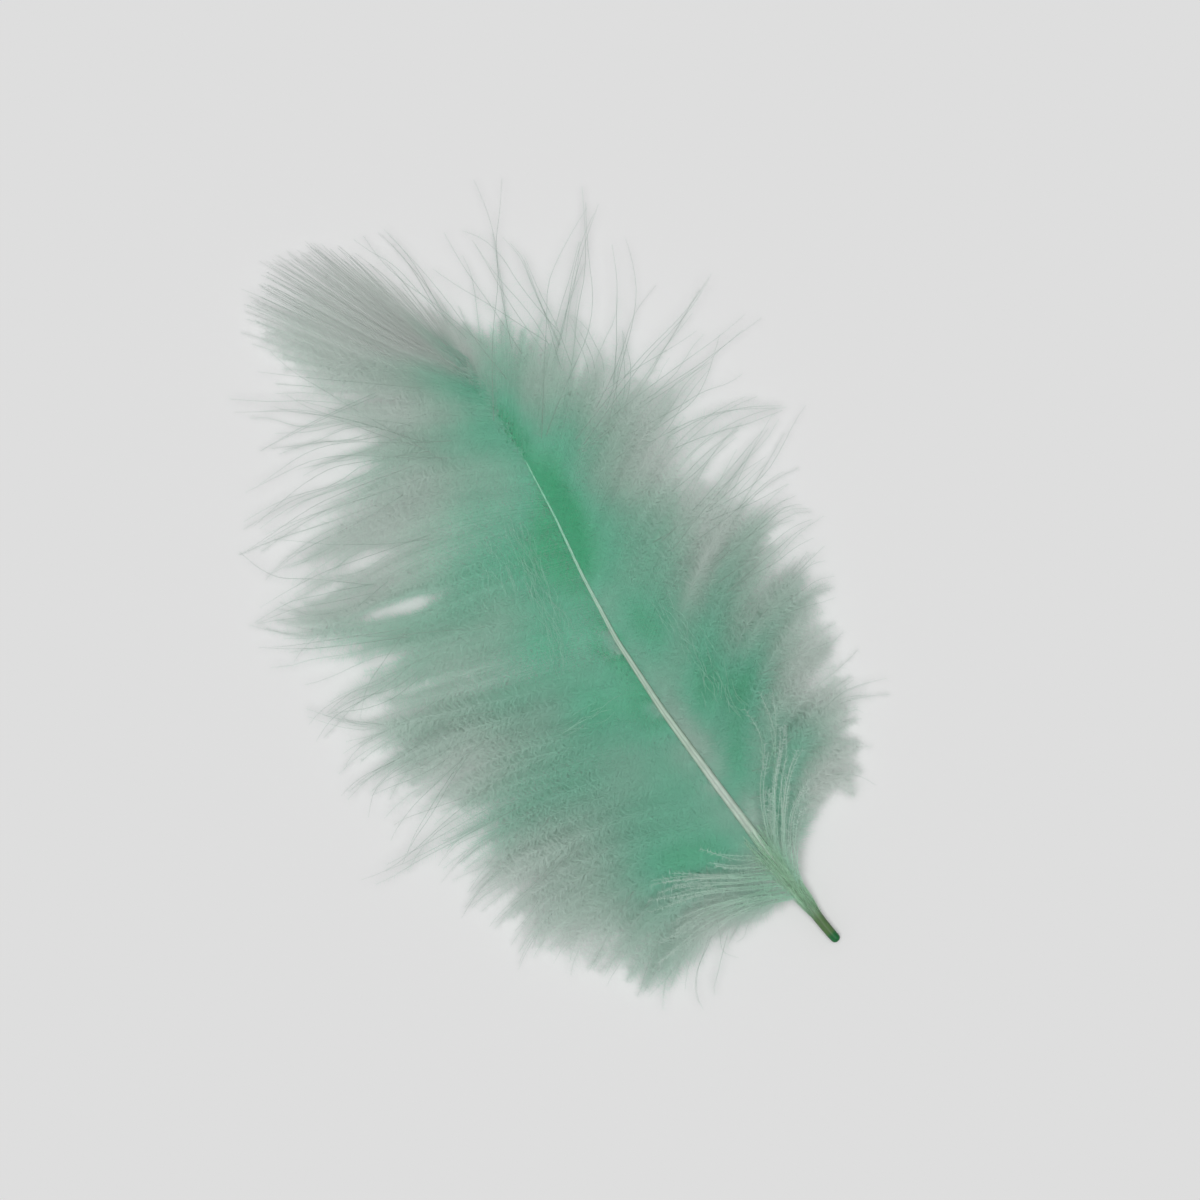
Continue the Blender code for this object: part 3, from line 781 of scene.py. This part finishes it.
def bundle(points, heights, offsets, spreads, shortest, rng):
    """Strands beside one line: their paths, and their shares. The spreads scale their offsets along it."""
    count = len(offsets)
    line = np.column_stack((through_points(points), np.interp(ALONG, HEIGHTS_AT, heights)))
    shares = ALONG * rng.uniform(shortest, 1.0, count)[:, None]
    paths = np.stack([np.interp(shares, ALONG, line[:, axis]) for axis in range(3)], axis=-1)
    spread = np.interp(shares, np.linspace(0.0, 1.0, len(spreads)), spreads)
    offset = offsets[:, None] * spread + waves(shares, count, *LOOSE_SWAY, rng)
    paths += sideways(paths) * offset[..., None]
    paths[..., 2] += rng.normal(0.0, LOOSE_LIFT, count)[:, None] * shares
    return paths, shares


def joined(bundles):
    """The paths and the shares of several bundles, each in one array."""
    return [np.concatenate(each) for each in zip(*bundles)]


def loose_strands(paths, fade, fluff, bare, rng):
    """Strands that take chance places around the feather. Fluff and bare may be one number for all."""
    values = [np.broadcast_to(value, fade.shape) for value in (fade, fluff, bare)]
    return Strands(paths, rng.uniform(0, 1, len(paths)), *values)


def wisp_strands(rng):
    """Hairs that part where they leave the down and cling together at their tips."""
    made = []
    for wisp in LEFT_WISPS + RIGHT_WISPS:
        points = np.reshape(wisp, (-1, 2))[::-1]
        inward = normalised(points[0] - points[1])
        points = np.vstack((points[0] + inward * BURIED, points))
        heights = [rng.uniform(*limits) for limits in WISP_HEIGHTS]
        offsets = rng.normal(0.0, 1.0, rng.choice(WISP_HAIRS))
        made.append(bundle(points, heights, offsets, WISP_SPREAD, WISP_SHORTEST, rng))
    paths, shares = joined(made)
    fluff = table(WISP_FLUFF, shares) * rng.uniform(*WISP_FLUFF_VARIES, len(paths))[:, None]
    return loose_strands(paths, table(WISP_FADE, shares), fluff, 1.0, rng)


def web_strands(rng):
    """Hairs that stand apart like the veins of a leaf, with long barbules between them."""
    made = []
    for count, width, *points in WEBS:
        heights = [rng.uniform(*limits) for limits in WEB_HEIGHTS]
        offsets = np.linspace(-width, width, count)
        made.append(bundle(points[::-1], heights, offsets, WEB_WIDTHS, WEB_SHORTEST, rng))
    paths, shares = joined(made)
    fluff = WEB_FLUFF * table(WEB_FLUFF_SHARES, shares)
    return loose_strands(paths, table(WISP_FADE, shares), fluff, 1.0, rng)


def tuft_strands(rng):
    """Pale barbs that leave the quill together and gather in a few streaks."""
    made = []
    for count, spread, *points in TUFTS:
        _, root_z, _ = shaft_at(points[0][1])
        streaks_at = rng.normal(0.0, 1.0, TUFT_CLUMPS)
        offsets = rng.choice(streaks_at, count) + rng.normal(0.0, CLUMP_SPREAD, count)
        heights, spreads = (root_z, *TUFT_HEIGHTS), (TUFT_ROOT_SPREAD, spread)
        paths, shares = bundle(points, heights, offsets, spreads, TUFT_SHORTEST, rng)
        paths[..., 1] += rng.uniform(-TUFT_START, TUFT_START, count)[:, None] * (1.0 - shares)
        made.append((paths, shares))
    paths, shares = joined(made)
    return loose_strands(paths, shares, TUFT_FLUFF, 0.0, rng)


def lint_strands(rng):
    """Short, slightly bent fibres, scattered along strips and lying nearly their way."""
    paths = []
    for count, start, end in LINT:
        start, end = np.array(start), np.array(end)
        for _ in range(count):
            middle = start + (end - start) * rng.uniform()
            middle = middle + rng.normal(0.0, LINT_SPREAD, 2) * (1.0, LINT_SPREAD_ALONG)
            turn = math.atan2(*(end - start)) + rng.normal(0.0, LINT_TURN)
            along = np.array((math.sin(turn), math.cos(turn))) * rng.uniform(*LINT_LENGTH) / 2
            bow = np.array((along[1], -along[0])) * rng.normal(0.0, 2 * LINT_BOW)
            line = through_points((middle - along, middle + bow, middle + along))
            paths.append(np.column_stack((line, np.full(BARB_STEPS, rng.uniform(*LINT_HEIGHTS)))))
    paths = np.array(paths)
    return loose_strands(paths, np.broadcast_to(ALONG, paths.shape[:2]), LINT_FLUFF, 1.0, rng)


def quill_fibre_strands(rng):
    """Fibres that lie along the quill, round its top and sides, and stand off a little."""
    count = QUILL_FIBRES
    start, end = rng.uniform(*FIBRES_FROM, count)[:, None], rng.uniform(*FIBRES_TO, count)[:, None]
    y = start + (end - start) * ALONG
    x, z, radius = shaft_at(y)
    turn = np.radians(rng.uniform(-FIBRES_ROUND, FIBRES_ROUND, count))[:, None]
    turn = turn + waves(ALONG, count, *FIBRE_SWAY, rng)
    off = radius + rng.uniform(*FIBRES_OFF, count)[:, None] * smooth(ALONG, 0.0, FIBRES_OFF_BY)
    off = off + FIBRES_FLARE * ALONG**2 * rng.uniform(0.0, 1.0, count)[:, None]
    paths = np.stack((x + np.sin(turn) * off, y, z + np.cos(turn) * off), axis=-1)
    return loose_strands(paths, np.broadcast_to(ALONG, y.shape), FIBRE_FLUFF, 0.0, rng)


# Meshes

def in_map(share):
    """A share of the way across the texture map, kept clear of its edges."""
    return MAP_EDGE + (1.0 - 2.0 * MAP_EDGE) * share


def map_place(along, around):
    """Places in the texture map."""
    return in_map(np.clip(np.stack(np.broadcast_arrays(along, around), axis=-1), 0.0, 1.0))


def mesh_piece(name, points, faces, uv, material, normals=None):
    """A smooth mesh from arrays: points in millimetres, faces of one size, a map place for each point."""
    mesh = bpy.data.meshes.new(name)
    corners = faces.shape[1]
    mesh.vertices.add(len(points))
    mesh.vertices.foreach_set("co", ((points - MIDDLE) * MM).astype(np.float32).ravel())
    mesh.loops.add(faces.size)
    mesh.loops.foreach_set("vertex_index", faces.astype(np.int32).ravel())
    mesh.polygons.add(len(faces))
    mesh.polygons.foreach_set("loop_start", np.arange(0, faces.size, corners, dtype=np.int32))
    layer = mesh.uv_layers.new(name="OFBake")
    layer.data.foreach_set("uv", uv[faces.ravel()].astype(np.float32).ravel())
    mesh.update(calc_edges=True)
    mesh.validate()
    mesh.shade_smooth()
    if normals is not None:
        mesh.normals_split_custom_set_from_vertices(normals)
    mesh.materials.append(material)
    made = bpy.data.objects.new(name, mesh)
    bpy.context.scene.collection.objects.link(made)
    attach(made, "root")
    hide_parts("feather")


def barb_arrays(strands, radii):
    """Three-sided tubes around the paths: their points, faces and map places."""
    paths = strands.paths
    count, steps = paths.shape[:2]
    along = normalised(np.gradient(paths, axis=1))
    across = sideways(paths)
    above = np.cross(across, along)
    colour = strands.fade * FADED
    colour = colour + (1.0 - colour) * strands.bare
    corners = []
    places = []
    for corner in range(3):
        angle = math.radians(90 + 120 * corner)
        corners.append(paths + (across * math.cos(angle) + above * math.sin(angle)) * radii[..., None])
        places.append(map_place(colour + MAP_STEP * ALONG, strands.around[:, None] + MAP_STEP * corner))
    points = np.stack(corners, axis=2).reshape(-1, 3)
    uv = np.stack(places, axis=2).reshape(-1, 2)
    start = (np.arange(count)[:, None] * steps + np.arange(steps - 1)[None, :]).ravel() * 3
    sides = []
    for corner in range(3):
        after = (corner + 1) % 3
        sides.append(np.stack((start + corner, start + after, start + 3 + after, start + 3 + corner), axis=1))
    return points, np.concatenate(sides), uv


def barbule_directions(along, side, around, rng):
    """Barbules lean from their barb to one side, and spread round it."""
    count = len(along)
    across = normalised(np.cross(along, (0.0, 0.0, 1.0)))
    above = np.cross(across, along)
    roll = np.radians(rng.normal(0.0, 1.0, count) * table(BARBULE_ROLL, around))
    lean = np.radians(table(BARBULE_LEAN, around) * (1.0 + rng.normal(0.0, LEAN_VARIES, count)))
    out = across * (side * np.cos(roll))[:, None] + above * np.sin(roll)[:, None]
    return along * np.cos(lean)[:, None] + out * np.sin(lean)[:, None]


def facing_up(points):
    """Turns each blade's upper side up, and gives its corners normals that are evened out."""
    facing = np.cross(points[:, 1] - points[:, 0], points[:, 2] - points[:, 0])
    turned = facing[:, 2] < 0
    points[turned] = points[turned][:, (1, 0, 2)]
    facing[turned] *= -1.0
    normals = normalised(normalised(facing) * (1.0 - SOFTNESS) + np.array((0.0, 0.0, SOFTNESS)))
    return points, np.repeat(normals, 3, axis=0)


def barbule_arrays(strands, per_mm, rng):
    """Barbules as slim blades on both sides of the paths: points, faces, map places and normals."""
    paths = strands.paths
    count, steps = paths.shape[:2]
    reach = np.linalg.norm(np.diff(paths, axis=1), axis=2).sum(axis=1)
    numbers = np.maximum((reach * per_mm).astype(int), 2)
    owner = np.repeat(np.arange(count), numbers)
    total = len(owner)
    order = np.arange(total) - np.repeat(np.cumsum(numbers) - numbers, numbers)
    at = (order + rng.uniform(0, 1, total)) / numbers[owner] * (steps - 1)
    lower = np.minimum(at.astype(int), steps - 2)
    blend = at - lower

    def reading(values):
        return values[owner, lower] * (1 - blend) + values[owner, lower + 1] * blend

    around = strands.around[owner]
    start = np.stack([reading(paths[..., axis]) for axis in range(3)], axis=-1)
    along = normalised(paths[owner, lower + 1] - paths[owner, lower])
    direction = barbule_directions(along, np.where(order % 2 == 0, 1.0, -1.0), around, rng)
    length = reading(strands.fluff) * rng.uniform(*LENGTH_VARIES, total)
    width = table(BARBULE_WIDTH, around)
    width = width + (HAIR_BARBULE_WIDTH - width) * reading(strands.bare)
    foot = along * (width * 0.5)[:, None]
    points = np.stack((start - foot, start + foot, start + direction * length[:, None]), axis=1)
    points[..., 2] = np.clip(points[..., 2], DOWN_LOWEST, DOWN_HIGHEST)
    points, normals = facing_up(points)
    fade = reading(strands.fade)[:, None] * FADED
    uv = map_place(fade + BLADE_MAP[:, 0], around[:, None] + BLADE_MAP[:, 1])
    return points.reshape(-1, 3), np.arange(total * 3).reshape(total, 3), uv.reshape(-1, 2), normals


def barbule_piece(name, strands, per_mm, material, rng):
    """One piece of barbules."""
    points, faces, uv, normals = barbule_arrays(strands, per_mm, rng)
    mesh_piece(name, points, faces, uv, material, normals)


def strand_pieces(name, strands, radii, per_mm, barb, down, rng):
    """One piece of barbs and one of their barbules."""
    radii = np.broadcast_to(table(radii, ALONG), strands.fade.shape)
    mesh_piece(name, *barb_arrays(strands, radii), barb)
    barbule_piece(name + "_down", strands, per_mm, down, rng)


# Materials

def set_inputs(node, inputs):
    """Gives inputs of a node a value, or links them to an output of another node."""
    for name, value in inputs.items():
        if isinstance(value, bpy.types.NodeSocket):
            node.id_data.links.new(value, node.inputs[name])
        else:
            node.inputs[name].default_value = value


def add_node(tree, kind, inputs, output=0, **settings):
    """Adds a node with these inputs and settings, and gives one of its outputs."""
    node = tree.nodes.new("ShaderNode" + kind)
    for name, value in settings.items():
        setattr(node, name, value)
    set_inputs(node, inputs)
    return node.outputs[output]


def new_material(name):
    """A material and its surface shader."""
    material = bpy.data.materials.new(name)
    material.use_nodes = True
    return material, material.node_tree.nodes["Principled BSDF"]


def ramp(tree, place, stops):
    """The colour at a place in the map, between stops that are given as shares of the way across it."""
    colour = add_node(tree, "ValToRGB", {"Fac": place})
    elements = colour.node.color_ramp.elements
    elements[0].position, elements[1].position = (in_map(stops[end][0]) for end in (0, -1))
    elements[0].color, elements[1].color = (*stops[0][1], 1.0), (*stops[-1][1], 1.0)
    for position, shade in stops[1:-1]:
        elements.new(in_map(position)).color = (*shade, 1.0)
    return colour


def multiplied(tree, first, second):
    """Two colours, or a colour and a grey, multiplied."""
    inputs = {0: 1.0, 6: first, 7: second}
    return add_node(tree, "Mix", inputs, 2, data_type="RGBA", blend_type="MULTIPLY")


def streaks(tree, uv, fineness, shades):
    """A grey that varies between two shades, stretched along the barbs."""
    place = add_node(tree, "Mapping", {"Vector": uv, "Scale": fineness})
    noise = add_node(tree, "TexNoise", {"Vector": place, "Scale": 1.0, "Detail": NOISE_DETAIL})
    limits = zip(("From Min", "From Max", "To Min", "To Max"), NOISE_RANGE + shades)
    return add_node(tree, "MapRange", {"Value": noise, **dict(limits)})


def streaked_material(name, colours, tints_and_shade, fineness, shades, finish):
    """A material coloured along the map, tinted and given painted shade around it, with streaks between two
    shades; and its colour.
    """
    material, surface = new_material(name)
    tree = material.node_tree
    uv = add_node(tree, "TexCoord", {}, "UV")
    along = add_node(tree, "SeparateXYZ", {"Vector": uv})
    colour = multiplied(tree, ramp(tree, along, colours), ramp(tree, along.node.outputs["Y"], tints_and_shade))
    colour = multiplied(tree, colour, streaks(tree, uv, fineness, shades))
    set_inputs(surface, {"Base Color": colour, **finish})
    return material, colour


def down_material(name, colours, shades):
    """Dyed down that lets some light through, uneven from barb to barb, with painted shade that darkens its
    base.
    """
    material, colour = streaked_material(name, colours, DOWN_TINTS_AND_SHADE, DOWN_FINENESS, shades, DOWN_FINISH)
    tree = material.node_tree
    surface = tree.nodes["Principled BSDF"].outputs["BSDF"]
    through = add_node(tree, "BsdfTranslucent", {"Color": colour})
    both = add_node(tree, "MixShader", {"Fac": DOWN_LETS_THROUGH, 1: surface, 2: through})
    set_inputs(tree.nodes["Material Output"], {"Surface": both})
    return material


def shaft_material():
    """Horn that changes colour along the shaft, with painted shade that darkens its sides and its groove."""
    shades = [(place, (shade, shade, shade)) for place, shade in SHAFT_PAINTED_SHADING]
    made = streaked_material("quill_horn", SHAFT_COLOURS, shades, HORN_FINENESS, HORN_STREAKS, HORN_FINISH)
    return made[0]


# Pieces

def make_down():
    """The barbs and their barbules, in five pieces around the feather, and the hairs round its edge."""
    rng = np.random.default_rng(SEED)
    strands = barb_strands(rng)
    barb = down_material("barb", DOWN_COLOURS, BARB_STREAKS)
    down = down_material("down", DOWN_COLOURS, DOWN_STREAKS)
    radii = table(BARB_RADIUS, ALONG) * table(BARB_STOUTNESS, strands.around)[:, None]
    mesh_piece("barbs", *barb_arrays(strands, radii), barb)
    names = ("down_left_base", "down_left", "down_tip", "down_right", "down_right_base")
    bounds = np.linspace(0.0, 1.0, len(names) + 1)
    for name, low, high in zip(names, bounds, bounds[1:]):
        chosen = (strands.around >= low) & (strands.around < high)
        part_of = Strands(*(values[chosen] for values in strands))
        barbule_piece(name, part_of, table(BARBULES_PER_MM, part_of.around), down, rng)
    strand_pieces("wisps", wisp_strands(rng), WISP_RADIUS, WISP_BARBULES_PER_MM, barb, down, rng)
    strand_pieces("webs", web_strands(rng), WISP_RADIUS, WEB_BARBULES_PER_MM, barb, down, rng)


def make_loose_strands():
    """The tufts at the base, the lint on the down and the fibres on the quill."""
    rng = np.random.default_rng(SEED + 1)
    pale = down_material("pale_down", TUFT_COLOURS, TUFT_STREAKS)
    mint = down_material("mint_down", LINT_COLOURS, LINT_STREAKS)
    horn = down_material("quill_fibre", FIBRE_COLOURS, FIBRE_STREAKS)
    strand_pieces("base_tufts", tuft_strands(rng), TUFT_RADIUS, TUFT_BARBULES_PER_MM, pale, pale, rng)
    strand_pieces("lint", lint_strands(rng), LINT_RADIUS, LINT_BARBULES_PER_MM, mint, mint, rng)
    fibres = quill_fibre_strands(rng)
    strand_pieces("quill_fibres", fibres, FIBRE_RADIUS, FIBRE_BARBULES_PER_MM, horn, horn, rng)


def round_ends(y, radius):
    """Closes both ends of the shaft in a curve."""
    radius = np.where(y < SHAFT[1, 1], SHAFT[1, 3], radius)
    for end in (SHAFT[0, 1], SHAFT[-1, 1]):
        away = np.clip(np.abs(y - end) / END_LENGTH, 0.0, 1.0)
        radius = radius * np.sqrt(1.0 - (1.0 - away) ** 2)
    return radius


def grooved_rims(y, radius, angle):
    """The shaft's radius at every corner of its rings, less in the groove along its top."""
    from_top = np.minimum(angle, 2 * np.pi - angle)
    groove = GROOVE_DEPTH * np.exp(-((from_top / GROOVE_WIDTH) ** 2))
    grooved = (smooth(y, *GROOVED[0]) * (1 - smooth(y, *GROOVED[1])))[:, None]
    return radius[:, None] * (1 - groove * grooved)


def make_shaft():
    """The shaft from its rounded quill end to its hidden tip, as rings with a groove on top."""
    rings, corners = SHAFT_RINGS, SHAFT_CORNERS
    length_share = np.linspace(0.0, 1.0, rings) ** RING_CROWDING
    y = SHAFT[0, 1] + (SHAFT[-1, 1] - SHAFT[0, 1]) * length_share
    x, z, radius = shaft_at(y)
    for course in (x, z) * SMOOTHINGS:
        course[1:-1] = (course[:-2] + 2 * course[1:-1] + course[2:]) / 4
    centre = np.stack((x, y, z), axis=1)
    along = normalised(np.gradient(centre, axis=0))
    across = normalised(np.cross(along, (0.0, 0.0, 1.0)))
    above = np.cross(across, along)
    angle = np.linspace(0, 2 * np.pi, corners, endpoint=False)[None, :]
    rims = grooved_rims(y, round_ends(y, radius), angle)
    turn = across[:, None, :] * np.sin(angle)[..., None] + above[:, None, :] * np.cos(angle)[..., None]
    points = centre[:, None, :] + turn * rims[..., None]
    uv = map_place(length_share[:, None], np.linspace(0, 1, corners)[None, :])
    ring = np.arange(rings - 1)[:, None] * corners
    corner = np.arange(corners)[None, :]
    after = (corner + 1) % corners
    faces = np.stack((ring + corner, ring + after, ring + corners + after, ring + corners + corner), axis=-1)
    mesh_piece("quill", points.reshape(-1, 3), faces.reshape(-1, 4), uv.reshape(-1, 2), shaft_material())


# Stage

def make_floor():
    """A plain pale floor."""
    bpy.ops.mesh.primitive_circle_add(vertices=FLOOR_CORNERS, radius=FLOOR_RADIUS, fill_type="NGON")
    floor = bpy.context.object
    floor.name = "floor"
    material, surface = new_material("pale_floor")
    set_inputs(surface, FLOOR_FINISH)
    floor.data.materials.append(material)


def make_light():
    """An even sky and a soft light from nearly straight above."""
    world = bpy.data.worlds.new("studio")
    world.use_nodes = True
    set_inputs(world.node_tree.nodes["Background"], {"Color": SKY_COLOUR, "Strength": SKY_LIGHT})
    bpy.context.scene.world = world
    sun = bpy.data.lights.new("key", "SUN")
    sun.energy = KEY_LIGHT
    sun.angle = KEY_SOFTNESS
    key = bpy.data.objects.new("key", sun)
    key.rotation_euler = (*KEY_TILT, 0.0)
    bpy.context.scene.collection.objects.link(key)


def make_camera():
    """Straight above, with the feather's axis turned as in the photograph."""
    width_seen = PHOTO_SIDE * PIXEL * MM
    off = np.array((PHOTO_SIDE / 2 - SHEET_PIXEL[0], SHEET_PIXEL[1] - PHOTO_SIDE / 2)) * PIXEL
    right = np.array((math.cos(TURN), -math.sin(TURN)))
    up = np.array((math.sin(TURN), math.cos(TURN)))
    middle = (right * off[0] + up * off[1] - MIDDLE[:2]) * MM
    data = bpy.data.cameras.new("camera")
    data.lens = data.sensor_width * CAMERA_HEIGHT / width_seen
    data.clip_start, data.clip_end = CAMERA_CLIPS
    camera = bpy.data.objects.new("camera", data)
    camera.location = (*middle, CAMERA_HEIGHT)
    camera.rotation_euler = (0.0, 0.0, -TURN)
    bpy.context.scene.collection.objects.link(camera)
    bpy.context.scene.camera = camera


make_camera()
make_light()
make_floor()
make_shaft()
make_down()
make_loose_strands()
bpy.context.scene.view_settings.view_transform = "Standard"
